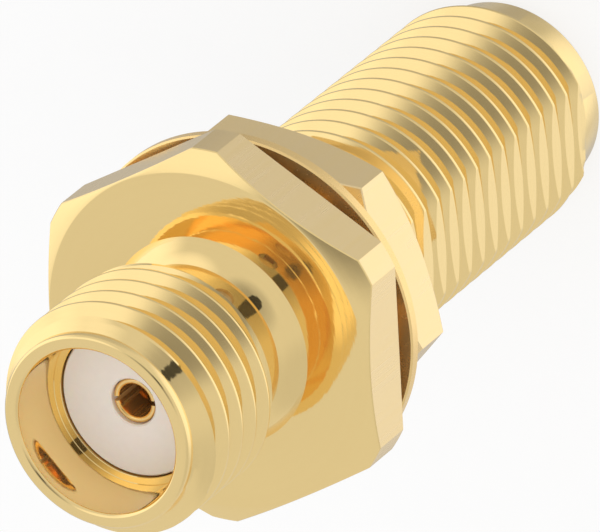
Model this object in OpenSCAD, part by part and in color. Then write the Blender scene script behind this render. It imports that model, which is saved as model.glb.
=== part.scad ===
// SMA bulkhead adapter: a coaxial connector with a female jack at each end.
// The body is one turned piece, with a hexagonal flange between a short jack
// and a long barrel that goes through a panel. A toothed lock washer and a
// hexagonal nut run on the barrel. Inside, a double-ended contact is held on
// the axis by two plastic insulators and a plug of resin in a cross hole.
// The origin is the centre of the barrel's end face, +Z points to the short
// jack, and the barrel's long flat faces -Y. Dimensions are in millimetres.

/* [Thread] */
// Major diameter of both threads, 1/4-36
thread_d = 6.35; // [6.2:0.01:6.5]
// Length of the chamfer that starts a thread
thread_lead = 0.42; // [0.2:0.02:0.6]

/* [Short jack] */
// Length from the rim of the short jack to the front of the flange
jack_l = 5.9; // [5.6:0.05:8]
// Length of the plain nose in front of the thread
jack_nose_l = 0.3; // [0.1:0.05:0.6]
// Length from the rim to the back end of the thread
jack_thread_end = 4.0; // [3.2:0.05:4.4]
// Diameter of the thread's back edge, where it is chamfered
thread_back_d = 5.9; // [5.5:0.05:6.1]
// Diameter of the neck behind the thread
neck_d = 4.82; // [4.7:0.02:5.2]
// Width of the neck
neck_l = 0.95; // [0.6:0.05:1.1]
// Diameter of the collar's front edge
collar_front_d = 5.58; // [5.3:0.02:5.7]
// Diameter of the collar where it meets the flange
collar_d = 5.86; // [5.7:0.02:6.2]

/* [Flange] */
// Width of the flange across its flats, 3/8 inch
flange_af = 9.525; // [9:0.025:11.1]
// Thickness of the flange
flange_t = 1.6; // [1:0.05:3]
// Diameter to which the flange's corners are turned
flange_corner_d = 10.6; // [10.2:0.05:11]
// Diameter at which the front chamfer of the flange starts
flange_face_d = 9.4; // [8:0.05:9.5]
// Angle of the chamfers on flange and nut
hex_chamfer_angle = 30; // [15:1:35]

/* [Barrel] */
// Length of the barrel behind the flange
barrel_l = 14.8; // [10:0.1:20]
// Length of the plain nose at the end of the barrel
barrel_nose_l = 0.92; // [0.4:0.02:1.2]
// Distance from the axis to the long flat
flat_offset = 2.85; // [2.76:0.01:3]

/* [Jack mouths] */
// Outer diameter of the plain noses
nose_d = 5.4; // [5.2:0.02:5.46]
// Bevel on the outer edge of a nose
nose_bevel = 0.07; // [0.03:0.01:0.12]
// Bore that takes the rim of the mating plug
mouth_d = 4.6; // [4.59:0.01:4.7]
// Chamfer at the entry of that bore
mouth_chamfer = 0.08; // [0.04:0.01:0.15]
// Depth of the reference plane from the rim
mouth_depth = 1.9; // [1.8:0.02:2]
// Bore of the body around the insulators
core_d = 4.2; // [4.1:0.02:4.3]

/* [Insulators] */
// Radial gap between insulator and body
insulator_gap = 0.03; // [0.01:0.01:0.06]
// Depth of an insulator's face behind the reference plane
insulator_set = 0.05; // [0:0.01:0.15]

/* [Centre contact] */
// Outer diameter of the contact
contact_d = 1.25; // [1.2:0.01:1.3]
// Radial gap between contact and insulator
contact_gap = 0.02; // [0.01:0.01:0.04]
// Bore of the sockets, for a 0.91 mm pin
socket_d = 0.94; // [0.92:0.01:0.98]
// Depth of the sockets
socket_l = 2.6; // [2:0.1:3.5]
// Depth of the contact's ends behind the insulator faces
contact_set = 0.09; // [0:0.01:0.15]
// Width of the saw cut that makes a socket springy
slot_w = 0.13; // [0.08:0.01:0.2]
// Depth of the saw cut
slot_l = 2.1; // [1.5:0.1:3]
// Direction of the saw cut around the axis, in degrees from +X
slot_angle = -87; // [-180:1:180]
// Chamfer on the edges of the contact's ends
contact_chamfer = 0.04; // [0.02:0.01:0.06]
// Diameter of the shoulder that is held between the insulators
shoulder_d = 1.9; // [1.6:0.05:2.4]
// Length of the shoulder
shoulder_l = 1.2; // [0.6:0.1:2]

/* [Cross hole] */
// Diameter of the hole through the neck
cross_d = 0.6; // [0.4:0.05:0.7]
// Direction of the hole around the axis, in degrees from +X
cross_angle = -42; // [-180:1:180]
// How far the resin plug stands below the neck's surface
plug_set = 0.1; // [0.05:0.01:0.25]
// Radial gap between plug and hole
plug_gap = 0.01; // [0.005:0.005:0.03]

/* [Lock washer] */
// Outer diameter of the washer
washer_d = 9.8; // [9:0.1:10.4]
// Thickness of the washer's sheet
washer_t = 0.35; // [0.3:0.01:0.5]
// Width of the washer's closed ring
washer_ring_w = 0.8; // [0.6:0.05:1]
// Number of inner teeth
tooth_count = 8; // [6:1:10]
// Width of a tooth
tooth_w = 1.4; // [1:0.05:1.6]
// Twist of a tooth about its own length
tooth_twist = 38; // [30:1:42]
// Radial gap between the tooth tips and the thread
tooth_gap = 0.12; // [0.08:0.01:0.2]
// Play of the washer between flange and nut, on each side
washer_play = 0.03; // [0.02:0.01:0.1]

/* [Nut] */
// Width of the nut across its flats, 5/16 inch
nut_af = 7.94; // [7.8:0.02:9.6]
// Thickness of the nut
nut_t = 1.95; // [1.5:0.05:3]
// Diameter at which the nut's chamfers start
nut_face_d = 7.8; // [7.4:0.05:7.8]
// Direction of one of the nut's flats, in degrees from +X
nut_angle = -10; // [-30:1:30]
// Radial running gap between nut and thread
nut_gap = 0.05; // [0.02:0.01:0.09]
// Countersink at both ends of the nut's bore
nut_countersink = 0.3; // [0.1:0.05:0.4]

/* [Hidden] */
$fn = 96;
eps = 0.01;                 // overlap of cuts past a face
flange_back = barrel_l;     // height of the flange's panel side
flange_front = flange_back + flange_t;
total_l = flange_front + jack_l;
collar_start = flange_front + jack_l - jack_thread_end - neck_l;
insulator_d = core_d - 2 * insulator_gap;
contact_hole_d = contact_d + 2 * contact_gap;
face_depth = mouth_depth + insulator_set;    // insulator face from the rim
end_depth = face_depth + contact_set;        // contact end from the rim
mid = total_l / 2;
thread_back = total_l - jack_thread_end;
cross_z = thread_back - neck_l / 2;
shoulder_hole_d = shoulder_d + 2 * contact_gap;
// Half of the height that a twisted tooth takes
tooth_half = (tooth_w * sin(tooth_twist) + washer_t * cos(tooth_twist)) / 2;
washer_z = flange_back - washer_play - tooth_half;
nut_top = washer_z - tooth_half - washer_play;
washer_ring_r = washer_d / 2 - washer_ring_w;
washer_bore_r = thread_d / 2 + tooth_gap;

// Turned solid from a list of [radius, height] points
module turned(points) rotate_extrude() polygon(points);

// Hexagonal prism with flats at +Y and -Y, corners turned to corner_d and
// chamfered from face_d at its top and, if both is true, at its bottom too
module turned_hex(af, t, face_d, corner_d, both) {
    drop = (corner_d - face_d) / 2 * tan(hex_chamfer_angle);
    intersection() {
        cylinder(d = af / cos(30), h = t, $fn = 6);
        turned([
            [0, 0],
            [both ? face_d / 2 : corner_d / 2, 0],
            [corner_d / 2, both ? drop : 0],
            [corner_d / 2, t - drop],
            [face_d / 2, t],
            [0, t]
        ]);
    }
}

// Space inside a jack, measured up from the rim at height 0 and cut down
module mouth_cut() {
    translate([0, 0, -mouth_depth])
        cylinder(d = mouth_d, h = mouth_depth + eps);
    turned([
        [0, -mouth_chamfer],
        [mouth_d / 2, -mouth_chamfer],
        [mouth_d / 2 + mouth_chamfer + eps, eps],
        [0, eps]
    ]);
}

// Radial hole from inside radius r0 to radius r1 at the cross hole's place
module cross_bore(d, r0, r1) {
    translate([0, 0, cross_z]) rotate([0, 0, cross_angle]) rotate([0, 90, 0])
        translate([0, 0, r0]) cylinder(d = d, h = r1 - r0);
}

// Outer shape of the barrel, with the long flat
module barrel() {
    difference() {
        turned([
            [0, 0],
            [nose_d / 2 - nose_bevel, 0],
            [nose_d / 2, nose_bevel],
            [nose_d / 2, barrel_nose_l],
            [thread_d / 2, barrel_nose_l + thread_lead],
            [thread_d / 2, flange_back + eps],
            [0, flange_back + eps]
        ]);
        translate([-thread_d / 2, -thread_d, -eps])
            cube([thread_d, thread_d - flat_offset, flange_back + eps]);
    }
}

// Outer shape of the short jack, from the flange's face to the rim
module short_jack() {
    back_chamfer = (thread_d - thread_back_d) / 2;
    turned([
        [0, flange_front - eps],
        [collar_d / 2, flange_front - eps],
        [collar_front_d / 2, collar_start],
        [neck_d / 2, collar_start],
        [neck_d / 2, thread_back],
        [thread_back_d / 2, thread_back],
        [thread_d / 2, thread_back + back_chamfer],
        [thread_d / 2, total_l - jack_nose_l - thread_lead],
        [nose_d / 2, total_l - jack_nose_l],
        [nose_d / 2, total_l - nose_bevel],
        [nose_d / 2 - nose_bevel, total_l],
        [0, total_l]
    ]);
}

module body() {
    color("goldenrod") difference() {
        union() {
            barrel();
            translate([0, 0, flange_back])
                turned_hex(flange_af, flange_t, flange_face_d,
                           flange_corner_d, false);
            short_jack();
        }
        translate([0, 0, -eps]) cylinder(d = core_d, h = total_l + 2 * eps);
        translate([0, 0, total_l]) mouth_cut();
        mirror([0, 0, 1]) mouth_cut();
        cross_bore(cross_d, core_d / 4, collar_d / 2);
    }
}

// One insulator, face up at height 0, long enough to reach the middle
module insulator_blank() {
    len = mid - face_depth - contact_gap / 2;
    translate([0, 0, -len]) difference() {
        cylinder(d = insulator_d, h = len);
        translate([0, 0, -eps])
            cylinder(d = contact_hole_d, h = len + 2 * eps);
        translate([0, 0, -eps])
            cylinder(d = shoulder_hole_d,
                     h = (shoulder_l + contact_gap) / 2 + eps);
    }
}

module insulator_near() {
    color("white") difference() {
        translate([0, 0, total_l - face_depth]) insulator_blank();
        cross_bore(cross_d, contact_d / 4, core_d / 2);
    }
}

module insulator_far() {
    color("white") translate([0, 0, face_depth])
        mirror([0, 0, 1]) insulator_blank();
}

// What is taken out of a contact's end, measured down from the end
module socket_cut() {
    translate([0, 0, -socket_l]) cylinder(d = socket_d, h = socket_l + eps);
    turned([
        [0, -contact_chamfer],
        [socket_d / 2, -contact_chamfer],
        [socket_d / 2 + contact_chamfer + eps, eps],
        [0, eps]
    ]);
    rotate([0, 0, slot_angle]) translate([-contact_d, -slot_w / 2, -slot_l])
        cube([2 * contact_d, slot_w, slot_l + eps]);
}

module contact() {
    len = total_l - 2 * end_depth;
    color("gold") difference() {
        union() {
            translate([0, 0, end_depth]) turned([
                [0, 0],
                [contact_d / 2 - contact_chamfer, 0],
                [contact_d / 2, contact_chamfer],
                [contact_d / 2, len - contact_chamfer],
                [contact_d / 2 - contact_chamfer, len],
                [0, len]
            ]);
            translate([0, 0, mid - shoulder_l / 2])
                cylinder(d = shoulder_d, h = shoulder_l);
        }
        translate([0, 0, total_l - end_depth]) socket_cut();
        translate([0, 0, end_depth]) mirror([0, 0, 1]) socket_cut();
    }
}

module captivation_plug() {
    color("peru") cross_bore(cross_d - 2 * plug_gap,
                             contact_hole_d / 2 + plug_gap,
                             neck_d / 2 - plug_set);
}

// Twisted tooth that reaches from the ring in towards the thread
module tooth() {
    reach = washer_ring_r + washer_t - washer_bore_r;
    translate([washer_bore_r + reach / 2, 0, 0]) rotate([tooth_twist, 0, 0])
        cube([reach, tooth_w, washer_t], center = true);
}

module washer() {
    color("khaki") translate([0, 0, washer_z]) {
        difference() {
            cylinder(d = washer_d, h = washer_t, center = true);
            cylinder(r = washer_ring_r, h = washer_t + 2 * eps,
                     center = true);
        }
        difference() {
            for (i = [0 : tooth_count - 1])
                rotate([0, 0, i * 360 / tooth_count]) tooth();
            cylinder(r = washer_bore_r, h = 4 * tooth_half, center = true);
        }
    }
}

module nut() {
    bore_r = thread_d / 2 + nut_gap;
    corner_d = nut_af / cos(30);
    color("khaki") translate([0, 0, nut_top - nut_t]) difference() {
        rotate([0, 0, nut_angle - 30])
            turned_hex(nut_af, nut_t, nut_face_d, corner_d, true);
        turned([
            [0, -eps],
            [bore_r + nut_countersink + eps, -eps],
            [bore_r, nut_countersink],
            [bore_r, nut_t - nut_countersink],
            [bore_r + nut_countersink + eps, nut_t + eps],
            [0, nut_t + eps]
        ]);
    }
}

body();
insulator_near();
insulator_far();
contact();
captivation_plug();
washer();
nut();
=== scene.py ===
"""SMA bulkhead adapter in gold plated brass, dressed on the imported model.

Each sub-assembly is a class that holds its sizes, in millimetres, and builds
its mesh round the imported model's axis. The threads of the body and of the nut
are real helices here. Heights are measured up from the barrel's end face.
"""
import logging
import math
from collections.abc import Callable, Iterable
from dataclasses import dataclass, field
from enum import Enum

import bmesh
import bpy
from mathutils import Matrix, Vector


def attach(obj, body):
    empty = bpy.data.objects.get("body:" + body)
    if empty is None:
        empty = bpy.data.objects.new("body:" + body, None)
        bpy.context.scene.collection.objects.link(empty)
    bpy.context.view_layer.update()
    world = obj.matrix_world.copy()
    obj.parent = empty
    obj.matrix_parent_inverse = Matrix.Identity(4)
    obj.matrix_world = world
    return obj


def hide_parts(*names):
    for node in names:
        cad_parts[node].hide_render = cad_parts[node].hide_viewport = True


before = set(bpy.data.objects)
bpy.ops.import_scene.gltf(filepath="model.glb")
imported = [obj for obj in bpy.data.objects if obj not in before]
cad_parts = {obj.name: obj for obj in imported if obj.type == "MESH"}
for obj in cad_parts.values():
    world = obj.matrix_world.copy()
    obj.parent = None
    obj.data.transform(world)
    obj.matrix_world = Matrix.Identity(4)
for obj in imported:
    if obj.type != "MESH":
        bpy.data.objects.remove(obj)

MM = 0.001
FULL_TURN = 2 * math.pi
SHARP_ANGLE = math.radians(24)
MERGE_DISTANCE = 2e-7
TAN_FLANK = math.tan(math.radians(30))
EASE_SHARE = 0.4
FINE_EASE = 0.015
SIDE_LEAN = 0.3
QUARTER = math.radians(90)
TOTAL = 22.3

Point = tuple[float, float]
Colour = tuple[float, float, float]
Outline = Callable[[float], list[Point]]

log = logging.getLogger("adapter")


# Geometry helpers


def columns(count: int, *extra: float) -> list[float]:
    """Angles round the axis at which a spun skin gets a column.

    Args:
        count: Number of even steps in a full turn.
        extra: More angles, in degrees, where an edge needs a column.

    Returns:
        Rising angles in radians, from 0 to a full turn.
    """
    even = [i * FULL_TURN / count for i in range(count + 1)]
    wanted = [math.radians(a) % FULL_TURN for a in extra]
    step = FULL_TURN / count
    kept = [a for a in even if all(abs(a - w) > step / 4 or a in (even[0], even[-1]) for w in wanted)]
    return sorted(set(kept + wanted))


def eased(points: list[Point], ease: float = 0.03) -> list[Point]:
    """Cuts each inner corner of an outline with a small chamfer.

    Args:
        points: Radius and height pairs.
        ease: Length taken from each side of a corner.

    Returns:
        The outline with two points for each inner corner.
    """
    out = [points[0]]
    for before, corner, after in zip(points, points[1:], points[2:]):
        for other in (before, after):
            length = math.dist(corner, other)
            share = min(ease / length, EASE_SHARE) if length > 0 else 0
            out.append(tuple(c + (o - c) * share for c, o in zip(corner, other)))
    out.append(points[-1])
    return out


def hex_radius(angle: float, flat_at: float, apothem: float, corner: float) -> float:
    """Radius of a hexagon whose corners are turned to a circle.

    Args:
        angle: Direction from the axis, in radians.
        flat_at: Direction of the middle of one flat, in degrees.
        apothem: Distance from the axis to a flat.
        corner: Radius of the turned corners.

    Returns:
        The radius in that direction.
    """
    sixth = FULL_TURN / 6
    off = (angle - math.radians(flat_at) + sixth / 2) % sixth - sixth / 2
    return min(apothem / math.cos(off), corner)


def finish_mesh(bm: bmesh.types.BMesh, name: str) -> bpy.types.Object:
    """Merges, orients and shades a mesh, and puts it in the scene.

    Args:
        bm: The mesh in metres. It is freed.
        name: Name of the new object.

    Returns:
        The new object.
    """
    bmesh.ops.remove_doubles(bm, verts=bm.verts, dist=MERGE_DISTANCE)
    bmesh.ops.recalc_face_normals(bm, faces=bm.faces)
    mesh = bpy.data.meshes.new(name)
    bm.to_mesh(mesh)
    bm.free()
    obj = bpy.data.objects.new(name, mesh)
    bpy.context.scene.collection.objects.link(obj)
    shade(obj)
    return obj


def shade(obj: bpy.types.Object) -> None:
    """Smooths an object's faces and keeps its hard edges sharp."""
    obj.data.polygons.foreach_set("use_smooth", [True] * len(obj.data.polygons))
    obj.data.set_sharp_from_angle(angle=SHARP_ANGLE)


def spin(name: str, outline: Outline, angles: list[float]) -> bpy.types.Object:
    """Skins a closed outline that may change as it goes round the axis.

    Args:
        name: Name of the new object.
        outline: Gives the closed outline at an angle, always with as many points.
        angles: Rising angles from 0 to a full turn.

    Returns:
        The new object.
    """
    bm = bmesh.new()
    grid = []
    for angle in angles:
        side, front = math.cos(angle) * MM, math.sin(angle) * MM
        grid.append([bm.verts.new((r * side, r * front, z * MM)) for r, z in outline(angle)])
    for here, there in zip(grid, grid[1:]):
        for row in range(len(here)):
            up = (row + 1) % len(here)
            bm.faces.new((here[row], there[row], there[up], here[up]))
    return finish_mesh(bm, name)


def carve(target: bpy.types.Object, cutter: bpy.types.Object, union: bool = False) -> None:
    """Cuts one mesh out of another, or joins it on, and deletes the tool.

    Args:
        target: The object that changes.
        cutter: The closed tool.
        union: Joins the two where it is true.
    """
    tool = target.modifiers.new("carve", "BOOLEAN")
    tool.object = cutter
    tool.operation = "UNION" if union else "DIFFERENCE"
    tool.solver = "EXACT"
    graph = bpy.context.evaluated_depsgraph_get()
    made = bpy.data.meshes.new_from_object(target.evaluated_get(graph))
    target.modifiers.remove(tool)
    target.data = made
    bpy.data.objects.remove(cutter)
    shade(target)


def block(name: str, size: Vector, place: Matrix) -> bpy.types.Object:
    """A box of that size in millimetres, put where the matrix says."""
    bm = bmesh.new()
    bmesh.ops.create_cube(bm, size=1.0)
    bmesh.ops.transform(bm, matrix=place @ Matrix.Diagonal((*(size * MM), 1)), verts=bm.verts)
    return finish_mesh(bm, name)


def outward(height: float, direction: float) -> Matrix:
    """Lays a spun piece's axis outwards, at that height and direction in degrees."""
    return (Matrix.Translation((0, 0, height * MM)) @ Matrix.Rotation(math.radians(direction), 4, "Z")
            @ Matrix.Rotation(QUARTER, 4, "Y"))


# Threads


@dataclass(frozen=True)
class Thread:
    """Right-handed thread with flanks 60 degrees apart."""

    major: float = 3.175
    root: float = 2.742
    pitch: float = 0.70556
    crest: float = 0.1
    crown: float = 0.012
    lead_height: float = 0.0
    flank_steps: int = 1

    def half_width(self, radius: float) -> float:
        """Half the width of a ridge at that radius."""
        return self.crest / 2 + max(self.major - self.crown - radius, 0) * TAN_FLANK

    def radius(self, height: float, angle: float) -> float:
        """Radius of the threaded surface.

        Args:
            height: Height of the point.
            angle: Direction of the point from the axis, in radians.

        Returns:
            The radius there.
        """
        rise = height - self.lead_height - self.pitch * angle / FULL_TURN
        off = abs((rise + self.pitch / 2) % self.pitch - self.pitch / 2)
        if off <= self.crest / 2:
            return self.major - self.crown * (2 * off / self.crest) ** 2
        return max(self.root, self.major - self.crown - (off - self.crest / 2) / TAN_FLANK)

    def rows(self, start: float, end: float, angle: float, cut: float) -> list[float]:
        """Heights of the skin's rows at an angle, held between start and end.

        Args:
            start: Lower end of the threaded stretch.
            end: Upper end of the threaded stretch.
            angle: Direction from the axis, in radians.
            cut: Radius to which the ridges are cut at this angle.

        Returns:
            Rising heights, as many at every angle.
        """
        first = math.floor((start - self.lead_height) / self.pitch) - 1
        last = math.ceil((end - self.lead_height) / self.pitch)
        low, high = self.half_width(self.root), self.half_width(min(cut, self.major - self.crown))
        flank = [high + (low - high) * i / self.flank_steps for i in range(self.flank_steps + 1)]
        offsets = [-w for w in reversed(flank)] + [-high / 2, high / 2] + flank
        heights = []
        for turn in range(first, last + 1):
            middle = self.lead_height + self.pitch * (turn + angle / FULL_TURN)
            heights += [min(max(middle + off, start), end) for off in offsets]
        return heights

    def stretch(self, start: float, end: float, angle: float, cut: float,
                limit: Callable[[float], float]) -> list[Point]:
        """Outline of a threaded stretch.

        Args:
            start: Lower end of the stretch.
            end: Upper end of the stretch.
            angle: Direction from the axis, in radians.
            cut: Radius of a flat that cuts the ridges here.
            limit: Largest radius at a height, for chamfers at the ends.

        Returns:
            Points from start to end.
        """
        rows = self.rows(start, end, angle, cut)
        return [(min(self.radius(z, angle), cut, limit(z)), z) for z in rows]


# Finishes


class Grain(Enum):
    """How the marks of the tools run."""

    TURNED = "rings round the axis"
    DRAWN = "lines along the axis"
    STAMPED = "no direction"


class NodeBoard:
    """Adds and links nodes in one node tree."""

    def __init__(self, tree: bpy.types.NodeTree) -> None:
        """Empties the tree."""
        self.tree = tree
        tree.nodes.clear()

    def add(self, kind: str, values: dict[str, object] | None = None, **options: object) -> bpy.types.Node:
        """Adds a node.

        Args:
            kind: Blender's name of the node type.
            values: Values or sockets for the inputs, by input name or number.
            options: Settings of the node itself.

        Returns:
            The new node.
        """
        node = self.tree.nodes.new(kind)
        for name, option in options.items():
            setattr(node, name, option)
        for key, value in (values or {}).items():
            socket = node.inputs[key]
            if isinstance(value, bpy.types.NodeSocket):
                self.tree.links.new(value, socket)
            else:
                socket.default_value = value
        return node

    def math(self, operation: str, *values: object) -> bpy.types.NodeSocket:
        """The result of a Math node on those values or sockets."""
        return self.add("ShaderNodeMath", dict(enumerate(values)), operation=operation).outputs[0]

    def scaled(self, socket: bpy.types.NodeSocket, scale: Colour) -> bpy.types.NodeSocket:
        """A vector stretched by those factors."""
        return self.add("ShaderNodeVectorMath", {0: socket, 1: scale}, operation="MULTIPLY").outputs[0]

    def place(self) -> bpy.types.NodeSocket:
        """The point's place on its own object."""
        return self.add("ShaderNodeTexCoord").outputs["Object"]

    def noise(self, place: bpy.types.NodeSocket, scale: float, detail: float = 2.0) -> bpy.types.NodeSocket:
        """Noise at a place, from 0 to 1."""
        return self.add("ShaderNodeTexNoise", {"Vector": place, "Scale": scale, "Detail": detail}).outputs[0]

    def tint(self, factor: bpy.types.NodeSocket, low: Colour, high: Colour) -> bpy.types.NodeSocket:
        """A colour between two others."""
        ends = {"Factor": factor, 6: (*low, 1.0), 7: (*high, 1.0)}
        return self.add("ShaderNodeMix", ends, data_type="RGBA").outputs[2]

    def finish(self, shader: bpy.types.Node) -> None:
        """Leads a shader to the material's output."""
        self.add("ShaderNodeOutputMaterial", {0: shader.outputs[0]})


def start_material(name: str) -> tuple[bpy.types.Material, NodeBoard]:
    """A new material and its empty node board."""
    material = bpy.data.materials.new(name)
    material.use_nodes = True
    return material, NodeBoard(material.node_tree)


@dataclass(frozen=True)
class GoldPlating:
    """Gold plate over machined brass, with the marks of the tool under it."""

    name: str
    grain: Grain
    colour: Colour = (0.99, 0.76, 0.35)
    worn: Colour = (0.95, 0.71, 0.32)
    metallic: float = 0.94
    roughness: Point = (0.03, 0.07)
    mark_scale: float = 9000.0
    mark_depth: float = 1.2e-6
    mark_length: float = 40.0
    mark_detail: float = 3.0
    cloud_scale: float = 380.0
    cloud_detail: float = 4.0
    gloss_span: Point = (0.3, 0.7)

    def marks(self, board: NodeBoard) -> bpy.types.NodeSocket:
        """Noise stretched along the way that the tool went.

        Args:
            board: The material's nodes.

        Returns:
            A socket from 0 to 1.
        """
        place = board.place()
        if self.grain is Grain.TURNED:
            split = board.add("ShaderNodeSeparateXYZ", {0: place}).outputs
            radius = board.math("SQRT", board.math("ADD", board.math("MULTIPLY", split[0], split[0]),
                                                   board.math("MULTIPLY", split[1], split[1])))
            ring = board.add("ShaderNodeCombineXYZ", {0: radius, 1: 0.0, 2: split[2]}).outputs[0]
            along = board.scaled(ring, (self.mark_scale,) * 3)
        elif self.grain is Grain.DRAWN:
            stretched = self.mark_scale / self.mark_length
            along = board.scaled(place, (self.mark_scale, self.mark_scale, stretched))
        else:
            along = board.scaled(place, (self.mark_scale,) * 3)
        return board.noise(along, 1.0, self.mark_detail)

    def build(self) -> bpy.types.Material:
        """Makes the material.

        Returns:
            The new material.
        """
        material, board = start_material(self.name)
        marks = self.marks(board)
        cloud = board.noise(board.place(), self.cloud_scale, self.cloud_detail)
        blend = board.math("ADD", board.math("MULTIPLY", marks, 0.5), board.math("MULTIPLY", cloud, 0.5))
        gloss = board.add("ShaderNodeMapRange", {
            0: blend, 1: self.gloss_span[0], 2: self.gloss_span[1],
            3: self.roughness[0], 4: self.roughness[1]}).outputs[0]
        bump = board.add("ShaderNodeBump", {"Height": marks, "Strength": 1.0, "Distance": self.mark_depth})
        board.finish(board.add("ShaderNodeBsdfPrincipled", {
            "Base Color": board.tint(blend, self.worn, self.colour), "Metallic": self.metallic,
            "Roughness": gloss, "Normal": bump.outputs[0]}))
        return material


@dataclass(frozen=True)
class Moulding:
    """Plastic or resin, slightly uneven."""

    name: str
    colour: Colour
    shaded: Colour
    roughness: float
    wax: float = 0.0
    coat: float = 0.0
    wax_depth: float = 3e-4
    speck_scale: float = 5200.0
    speck_detail: float = 4.0
    speck_strength: float = 0.4
    speck_depth: float = 4e-6

    def build(self) -> bpy.types.Material:
        """Makes the material.

        Returns:
            The new material.
        """
        material, board = start_material(self.name)
        speck = board.noise(board.place(), self.speck_scale, self.speck_detail)
        bump = board.add("ShaderNodeBump", {
            "Height": speck, "Strength": self.speck_strength, "Distance": self.speck_depth})
        board.finish(board.add("ShaderNodeBsdfPrincipled", {
            "Base Color": board.tint(speck, self.shaded, self.colour), "Roughness": self.roughness,
            "Normal": bump.outputs[0], "Subsurface Weight": self.wax, "Subsurface Scale": self.wax_depth,
            "Coat Weight": self.coat}))
        return material


# Sub-assemblies


@dataclass
class Jack:
    """Sizes that the two ends of the body share."""

    nose: float = 2.7
    bevel: float = 0.07
    mouth: float = 2.3
    entry: float = 0.08
    depth: float = 1.9
    core: float = 2.1
    core_depth: float = 0.6

    def rim(self, height: float, up: int, nose_length: float) -> list[Point]:
        """Outline from the bore round the rim to the end of the plain nose.

        Args:
            height: Height of the rim.
            up: 1 if the jack opens upwards, -1 if it opens downwards.
            nose_length: Length of the plain nose.

        Returns:
            Points from the inside to the outside.
        """
        return eased([
            (self.core, height - up * (self.depth + self.core_depth)),
            (self.core, height - up * self.depth),
            (self.mouth, height - up * self.depth),
            (self.mouth, height - up * self.entry),
            (self.mouth + self.entry, height),
            (self.nose - self.bevel, height),
            (self.nose, height - up * self.bevel),
            (self.nose, height - up * nose_length),
        ], FINE_EASE)


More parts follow.
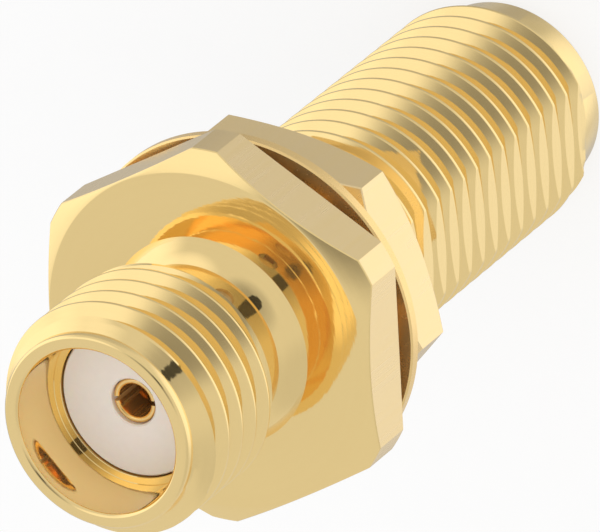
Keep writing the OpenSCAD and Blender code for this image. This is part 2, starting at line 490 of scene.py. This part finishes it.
@dataclass
class Body:
    """The turned body: two jacks, neck, collar, flange and threaded barrel."""

    jack: Jack = field(default_factory=Jack)
    total: float = TOTAL
    flange_back: float = 14.8
    flange_front: float = 16.4
    flange_flat: float = 4.7625
    flange_corner: float = 5.3
    flange_face: float = 4.7
    collar: float = 2.93
    collar_top: float = 16.98
    collar_bulge: float = 0.04
    neck: float = 2.41
    neck_top: float = 18.3
    thread_back: float = 2.95
    near_nose: float = 0.3
    far_nose: float = 0.92
    lead: float = 0.42
    flat: float = 2.85
    flat_at: float = -90.0
    flat_reach: float = 0.5
    hole_at: float = -31.7
    hole: float = 0.3
    drill_from: float = 1.2
    drill_past: float = 0.2
    edge_ease: float = 0.025
    steps: int = 300
    near_thread: Thread = Thread(lead_height=19.022, flank_steps=3)
    far_thread: Thread = Thread(lead_height=9.8 + 0.70556 * 63 / 360)

    def flat_cut(self, angle: float) -> float:
        """Radius to which the long flat cuts the barrel in that direction."""
        lean = math.cos(angle - math.radians(self.flat_at))
        return self.flat / lean if lean > self.flat_reach else self.far_thread.major

    def far_limit(self, height: float) -> float:
        """Largest radius of the barrel where its thread starts."""
        slope = (self.far_thread.major - self.jack.nose) / self.lead
        return self.jack.nose + max(height - self.far_nose, 0) * slope

    def near_limit(self, height: float) -> float:
        """Largest radius of the short thread at either end."""
        slope = (self.near_thread.major - self.jack.nose) / self.lead
        front = self.jack.nose + max(self.total - self.near_nose - height, 0) * slope
        return min(front, self.thread_back + height - self.neck_top)

    def bead(self, steps: int = 6) -> list[Point]:
        """Outline of the collar's rounded cone, from the flange's face to the neck.

        Args:
            steps: Number of straight pieces.

        Returns:
            Radius and height pairs, with both ends.
        """
        width, height = self.collar - self.neck, self.collar_top - self.flange_front
        slope = math.hypot(width, height)
        points = []
        for i in range(steps + 1):
            share = i / steps
            bulge = self.collar_bulge * math.sin(math.pi * share)
            points.append((self.collar - width * share + bulge * height / slope,
                           self.flange_front + height * share + bulge * width / slope))
        return points

    def outline(self, angle: float) -> list[Point]:
        """The closed outline of the body at an angle.

        Args:
            angle: Direction from the axis, in radians.

        Returns:
            Radius and height pairs.
        """
        edge = hex_radius(angle, self.flat_at, self.flange_flat, self.flange_corner)
        drop = (edge - self.flange_face) * TAN_FLANK
        barrel = self.far_thread.stretch(self.far_nose, self.flange_back, angle,
                                         self.flat_cut(angle), self.far_limit)
        middle = eased([
            barrel[-1],
            (edge, self.flange_back),
            (edge, self.flange_front - drop),
            (self.flange_face, self.flange_front),
            (self.collar, self.flange_front),
        ], self.edge_ease)
        bead = self.bead()
        groove = eased([bead[-1], (self.neck, self.neck_top), (self.jack.nose, self.neck_top)], FINE_EASE)
        short = self.near_thread.stretch(self.neck_top, self.total - self.near_nose, angle,
                                         self.near_thread.major, self.near_limit)
        far_rim = self.jack.rim(0, -1, self.far_nose)
        near_rim = self.jack.rim(self.total, 1, self.near_nose)
        return far_rim + barrel + middle[1:-1] + bead + groove[1:-1] + short + near_rim[::-1]

    def angles(self) -> list[float]:
        """Directions of the skin's columns, with one at each corner."""
        corner = math.degrees(math.acos(self.flange_flat / self.flange_corner))
        corners = [self.flat_at + 60 * side + sign * corner for side in range(6) for sign in (1, -1)]
        flat = math.degrees(math.acos(self.flat / self.far_thread.major))
        return columns(self.steps, *corners, self.flat_at - flat, self.flat_at + flat)

    def mark_flats(self, shell: bpy.types.Object) -> None:
        """Gives the sides of the hexagon the second finish.

        Args:
            shell: The body, with two materials.
        """
        for face in shell.data.polygons:
            middle = face.center / MM
            outside = math.hypot(middle.x, middle.y) > self.flange_face
            face.material_index = int(outside and abs(face.normal.z) < SIDE_LEAN)

    def build(self) -> bpy.types.Object:
        """Makes the body with the cross hole in its neck.

        Returns:
            The new object.
        """
        body = spin("body_shell", self.outline, self.angles())
        height = (self.collar_top + self.neck_top) / 2
        end = self.neck + self.drill_past
        drill = spin("drill", lambda _: [(0.0, self.drill_from), (self.hole, self.drill_from),
                                         (self.hole, end), (0.0, end)], columns(48))
        drill.data.transform(outward(height, self.hole_at))
        carve(body, drill)
        return body


@dataclass
class Insulator:
    """One of the two bushes that hold the contact."""

    name: str
    upper: bool
    total: float = TOTAL
    depth: float = 1.95
    outer: float = 2.07
    hole: float = 0.645
    shoulder_hole: float = 0.97
    shoulder_half: float = 0.61
    half_gap: float = 0.01
    seam: float = 0.01
    edge_ease: float = 0.04

    def outline(self, _: float) -> list[Point]:
        """The closed outline, measured up from the middle of the part."""
        face = self.total / 2 - self.depth
        points = eased([
            (self.shoulder_hole, self.half_gap), (self.outer, self.half_gap), (self.outer, face),
            (self.hole, face), (self.hole, self.shoulder_half), (self.shoulder_hole, self.shoulder_half),
            (self.shoulder_hole, self.half_gap + self.seam),
        ], self.edge_ease)
        sign = 1 if self.upper else -1
        return [(r, self.total / 2 + sign * z) for r, z in points]

    def build(self) -> bpy.types.Object:
        """Makes the bush."""
        return spin(self.name, self.outline, columns(120))


@dataclass
class Contact:
    """The centre contact, with a slotted socket at each end."""

    total: float = TOTAL
    depth: float = 2.04
    outer: float = 0.625
    socket: float = 0.47
    socket_depth: float = 2.6
    ease: float = 0.04
    drill_tip: float = 0.25
    shoulder: float = 0.95
    shoulder_half: float = 0.6
    shoulder_row: float = 0.3
    edge_ease: float = 0.012
    slot: float = 0.13
    slot_depth: float = 2.1
    saw_past: float = 0.1
    slot_at: float = -87.0

    def half(self) -> list[Point]:
        """Outline of the upper half, from the shoulder to the socket's floor, up from the middle."""
        end = self.total / 2 - self.depth
        floor = end - self.socket_depth
        return [
            (self.shoulder, self.shoulder_row),
            (self.shoulder, self.shoulder_half), (self.outer, self.shoulder_half),
            (self.outer, end - self.ease), (self.outer - self.ease, end), (self.socket + self.ease, end),
            (self.socket, end - self.ease), (self.socket, floor), (0.0, floor - self.drill_tip),
        ]

    def outline(self, _: float) -> list[Point]:
        """The outline from the far end of the axis to the near one."""
        middle = self.total / 2
        upper = eased(self.half(), self.edge_ease)
        lower = [(r, middle - z) for r, z in reversed(upper)]
        return lower + [(r, middle + z) for r, z in upper]

    def build(self) -> bpy.types.Object:
        """Makes the contact and saws its slots.

        Returns:
            The new object.
        """
        contact = spin("centre_contact", self.outline, columns(96))
        for end, way in ((self.total - self.depth, -1), (self.depth, 1)):
            height = end + way * (self.slot_depth / 2 - self.saw_past / 2)
            turn = Matrix.Rotation(math.radians(self.slot_at), 4, "Z")
            saw = block("saw", Vector((4 * self.outer, self.slot, self.slot_depth + self.saw_past)),
                        Matrix.Translation((0, 0, height * MM)) @ turn)
            carve(contact, saw)
        return contact


@dataclass
class ResinPlug:
    """Cured resin in the cross hole, with a domed top."""

    height: float = 17.5
    direction: float = -31.7
    radius: float = 0.29
    foot: float = 0.66
    edge: float = 2.27
    dome: float = 0.05
    dome_steps: int = 6

    def outline(self, _: float) -> list[Point]:
        """The closed outline along the hole."""
        rise = [math.radians(90 * i / self.dome_steps) for i in range(self.dome_steps + 1)]
        top = [(self.radius * math.cos(t), self.edge + self.dome * math.sin(t)) for t in rise]
        return [(0.0, self.foot), (self.radius, self.foot)] + top

    def build(self) -> bpy.types.Object:
        """Makes the plug and lays it along the hole."""
        plug = spin("resin_plug", self.outline, columns(48))
        plug.data.transform(outward(self.height, self.direction))
        return plug


@dataclass
class LockWasher:
    """Closed ring with teeth on its inside, each twisted out of the sheet."""

    middle: float = 14.2
    outer: float = 4.9
    ring: float = 0.8
    sheet: float = 0.35
    bore: float = 3.295
    teeth: int = 8
    tooth: float = 1.4
    twist: float = 38.0
    twist_start: float = 0.35
    twist_rate: float = 0.9
    sections: int = 7
    seam: float = 0.01
    edge_ease: float = 0.05

    def ring_outline(self, _: float) -> list[Point]:
        """The closed outline of the ring."""
        inner, half = self.outer - self.ring, self.sheet / 2
        start = ((inner + self.outer) / 2, self.middle - half)
        return eased([
            start, (self.outer, self.middle - half), (self.outer, self.middle + half),
            (inner, self.middle + half), (inner, self.middle - half), (start[0] - self.seam, start[1]),
        ], self.edge_ease)

    def tooth_mesh(self, turn: float) -> bpy.types.Object:
        """Makes one tooth, which twists as it leaves the ring.

        Args:
            turn: Direction of the tooth from the axis, in radians.

        Returns:
            The new object.
        """
        bm = bmesh.new()
        outer = self.outer - self.ring + self.sheet / 2
        rings = []
        for step in range(self.sections):
            share = step / (self.sections - 1)
            reach = outer + (self.bore - outer) * share
            lean = math.radians(self.twist) * min(1.0, self.twist_start + self.twist_rate * share)
            ring = []
            for side, face in ((-1, -1), (1, -1), (1, 1), (-1, 1)):
                across, up = side * self.tooth / 2, face * self.sheet / 2
                y = across * math.cos(lean) - up * math.sin(lean)
                z = across * math.sin(lean) + up * math.cos(lean)
                ring.append(bm.verts.new((reach * MM, y * MM, (z + self.middle) * MM)))
            rings.append(ring)
        for here, there in zip(rings, rings[1:]):
            for k in range(4):
                bm.faces.new((here[k], here[(k + 1) % 4], there[(k + 1) % 4], there[k]))
        bm.faces.new(rings[0])
        bm.faces.new(rings[-1])
        bmesh.ops.transform(bm, matrix=Matrix.Rotation(turn, 4, "Z"), verts=bm.verts)
        return finish_mesh(bm, "tooth")

    def build(self) -> bpy.types.Object:
        """Makes the ring and joins the teeth on."""
        washer = spin("lock_washer", self.ring_outline, columns(180))
        for number in range(self.teeth):
            carve(washer, self.tooth_mesh(FULL_TURN * number / self.teeth), union=True)
        return washer


@dataclass
class PanelNut:
    """Hexagonal nut with a real thread in its bore."""

    thread: Thread
    bottom: float = 11.65
    thickness: float = 1.95
    flat: float = 3.97
    corner: float = 4.584
    face: float = 3.9
    flat_at: float = -10.0
    clearance: float = 0.03
    bore_gap: float = 0.05
    countersink: float = 0.3
    edge_ease: float = 0.03
    steps: int = 240

    def bore_limit(self, height: float) -> float:
        """Smallest radius of the bore, for the countersinks at its ends."""
        deep = min(height - self.bottom, self.bottom + self.thickness - height)
        return self.thread.major + self.bore_gap + self.countersink - deep

    def outline(self, angle: float) -> list[Point]:
        """The closed outline of the nut at an angle.

        Args:
            angle: Direction from the axis, in radians.

        Returns:
            Radius and height pairs.
        """
        top = self.bottom + self.thickness
        edge = hex_radius(angle, self.flat_at, self.flat, self.corner)
        drop = (edge - self.face) * TAN_FLANK
        rows = self.thread.rows(self.bottom, top, angle, self.thread.major)
        bore = [(max(self.thread.radius(z, angle) + self.clearance, self.bore_limit(z)), z) for z in rows]
        outside = eased([bore[0], (self.face, self.bottom), (edge, self.bottom + drop), (edge, top - drop),
                         (self.face, top), bore[-1]], self.edge_ease)
        return outside[1:-1] + bore[::-1]

    def build(self) -> bpy.types.Object:
        """Makes the nut."""
        corners = [self.flat_at + 30 + 60 * side for side in range(6)]
        return spin("panel_nut", self.outline, columns(self.steps, *corners))


# Studio


@dataclass(frozen=True)
class Viewpoint:
    """Where the camera stands, and how it is turned."""

    azimuth: float = 43.02
    elevation: float = 51.28
    roll: float = -129.15
    distance: float = 0.45
    lens: float = 1040.84
    target: tuple[float, float, float] = (0.599, -0.6364, 12.5993)
    clip_end: float = 10.0

    def back(self) -> Vector:
        """The direction from the target to the camera."""
        turn, rise = math.radians(self.azimuth), math.radians(self.elevation)
        return Vector((math.sin(turn) * math.cos(rise), -math.cos(turn) * math.cos(rise), math.sin(rise)))

    def build(self) -> None:
        """Makes the scene's camera."""
        data = bpy.data.cameras.new("camera")
        data.lens = self.lens
        data.clip_end = self.clip_end
        camera = bpy.data.objects.new("camera", data)
        place = Vector(self.target) * MM + self.back() * self.distance
        camera.matrix_world = (Matrix.Translation(place) @ Matrix.Rotation(math.radians(self.azimuth), 4, "Z")
                               @ Matrix.Rotation(math.radians(90 - self.elevation), 4, "X")
                               @ Matrix.Rotation(math.radians(self.roll), 4, "Z"))
        bpy.context.scene.collection.objects.link(camera)
        bpy.context.scene.camera = camera


@dataclass(frozen=True)
class Panel:
    """A lighter or darker area of the light tent."""

    azimuth: float
    elevation: float
    inner: float
    outer: float
    gain: float

    def direction(self) -> Vector:
        """The direction of the area's middle."""
        turn, rise = math.radians(self.azimuth), math.radians(self.elevation)
        return Vector((math.cos(turn) * math.cos(rise), math.sin(turn) * math.cos(rise), math.sin(rise)))


@dataclass(frozen=True)
class Studio:
    """A pale light tent over a pale floor."""

    tent_level: float = 0.74
    fill_level: float = 0.9
    panels: tuple[Panel, ...] = (
        Panel(-82, -50, 12, 42, 0.45),
        Panel(107, -50, 15, 50, -0.22),
        Panel(-47, 58, 8, 30, -0.25),
        Panel(79, 5, 12, 42, 0.5),
        Panel(45, 45, 8, 30, 0.35),
        Panel(-130, 10, 12, 40, -0.1),
        Panel(27, -50, 10, 35, -0.2),
        Panel(-28, 68, 10, 28, -0.2),
    )
    lens_hole: float = 6.5
    hole_edge: float = 0.4
    hole_depth: float = 0.97
    floor_radius: float = 1.2
    floor_glow: float = 0.75
    fibre_scale: float = 900.0
    lamp_size: float = 0.5
    lamp_power: float = 0.8
    lamp_place: tuple[float, float, float] = (0.1, -0.35, 0.6)

    def build_world(self, view: Viewpoint) -> None:
        """Makes the tent as the world.

        Args:
            view: The camera, whose opening in the tent is dark.
        """
        world = bpy.data.worlds.new("tent")
        bpy.context.scene.world = world
        world.use_nodes = True
        board = NodeBoard(world.node_tree)
        way = board.add("ShaderNodeTexCoord").outputs["Generated"]
        level = self.tent_level
        for panel in self.panels:
            level = board.math("ADD", level, board.math("MULTIPLY", self.spot(board, way, panel), panel.gain))
        hole = self.spot(board, way, Panel(view.azimuth - 90, view.elevation, self.lens_hole,
                                           self.lens_hole + self.hole_edge, 1.0))
        dimmed = board.math("SUBTRACT", 1.0, board.math("MULTIPLY", hole, self.hole_depth))
        level = board.math("MULTIPLY", level, dimmed)
        path = board.add("ShaderNodeLightPath").outputs
        mirrored = board.math("MAXIMUM", path["Is Glossy Ray"], path["Is Transmission Ray"])
        strength = board.add("ShaderNodeMix", {"Factor": mirrored, 2: self.fill_level, 3: level}).outputs[0]
        shown = board.add("ShaderNodeMix", {"Factor": path["Is Camera Ray"], 2: strength, 3: 1.0}).outputs[0]
        light = board.add("ShaderNodeBackground", {"Color": (1, 1, 1, 1), "Strength": shown})
        board.add("ShaderNodeOutputWorld", {0: light.outputs[0]})

    def spot(self, board: NodeBoard, way: bpy.types.NodeSocket, panel: Panel) -> bpy.types.NodeSocket:
        """How far a direction lies inside a panel, from 0 to 1."""
        near = board.add("ShaderNodeVectorMath", {0: way, 1: panel.direction()},
                         operation="DOT_PRODUCT").outputs["Value"]
        rim, core = (math.cos(math.radians(a)) for a in (panel.outer, panel.inner))
        return board.add("ShaderNodeMapRange", {0: near, 1: rim, 2: core, 3: 0.0, 4: 1.0},
                         interpolation_type="SMOOTHSTEP").outputs[0]

    def build_floor(self) -> None:
        """Makes the pale floor, which keeps the part's shadow."""
        bm = bmesh.new()
        bmesh.ops.create_circle(bm, cap_ends=True, segments=96, radius=self.floor_radius)
        floor = finish_mesh(bm, "floor")
        material, board = start_material("floor_paper")
        fibre = board.noise(board.place(), self.fibre_scale)
        paper = board.add("ShaderNodeBsdfDiffuse", {
            "Color": board.tint(fibre, (0.9, 0.9, 0.9), (0.94, 0.94, 0.94))})
        glow = board.add("ShaderNodeEmission", {"Color": (1, 1, 1, 1), "Strength": 1.0})
        path = board.add("ShaderNodeLightPath").outputs
        share = board.math("MULTIPLY", path["Is Camera Ray"], self.floor_glow)
        board.finish(board.add("ShaderNodeMixShader", {0: share, 1: paper.outputs[0], 2: glow.outputs[0]}))
        floor.data.materials.append(material)
        floor.visible_glossy = False

    def build_lamp(self) -> None:
        """Makes one wide, soft lamp above the part."""
        data = bpy.data.lights.new("softbox", "AREA")
        data.shape = "DISK"
        data.size = self.lamp_size
        data.energy = self.lamp_power
        lamp = bpy.data.objects.new("softbox", data)
        lamp.location = self.lamp_place
        lamp.rotation_euler = (-lamp.location).to_track_quat("-Z", "Y").to_euler()
        lamp.visible_glossy = False
        bpy.context.scene.collection.objects.link(lamp)


def dress(obj: bpy.types.Object, material: bpy.types.Material, node: str, body: str) -> None:
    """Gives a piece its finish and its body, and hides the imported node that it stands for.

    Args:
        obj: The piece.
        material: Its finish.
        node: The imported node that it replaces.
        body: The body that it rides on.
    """
    obj.data.materials.clear()
    obj.data.materials.append(material)
    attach(obj, body)
    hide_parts(node)
    log.info("%s: %d faces, rides on %s", obj.name, len(obj.data.polygons), body)


def main() -> None:
    """Builds the studio and then each piece in order."""
    logging.basicConfig(level=logging.INFO, format="%(name)s: %(message)s")
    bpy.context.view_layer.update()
    bpy.context.scene.view_settings.view_transform = "Standard"
    view = Viewpoint()
    view.build()
    studio = Studio()
    studio.build_world(view)
    studio.build_floor()
    studio.build_lamp()

    turned = GoldPlating("turned_gold", Grain.TURNED).build()
    stamped = GoldPlating("stamped_gold", Grain.STAMPED, (1.0, 0.68, 0.28), metallic=0.86,
                          roughness=(0.2, 0.3), mark_scale=14000.0).build()
    satin = GoldPlating("satin_gold", Grain.DRAWN, (0.93, 0.74, 0.45), metallic=0.86,
                        roughness=(0.2, 0.3)).build()
    polished = GoldPlating("polished_gold", Grain.TURNED, (1.0, 0.60, 0.20), metallic=0.9,
                           roughness=(0.06, 0.12)).build()
    bush = Moulding("fluoropolymer", (0.93, 0.87, 0.83), (0.88, 0.82, 0.78), 0.42, wax=0.15).build()
    resin = Moulding("amber_resin", (0.62, 0.42, 0.16), (0.5, 0.3, 0.1), 0.2, coat=0.6).build()

    body = Body()
    shell = body.build()
    dress(shell, turned, "body", "connector")
    shell.data.materials.append(satin)
    body.mark_flats(shell)
    for name, upper in (("insulator_near", True), ("insulator_far", False)):
        dress(Insulator(name + "_bush", upper).build(), bush, name, "connector")
    dress(Contact().build(), polished, "contact", "connector")
    dress(ResinPlug().build(), resin, "captivation_plug", "connector")
    dress(LockWasher().build(), stamped, "washer", "washer")
    dress(PanelNut(body.far_thread).build(), satin, "nut", "nut")


if __name__ == "__main__":
    main()
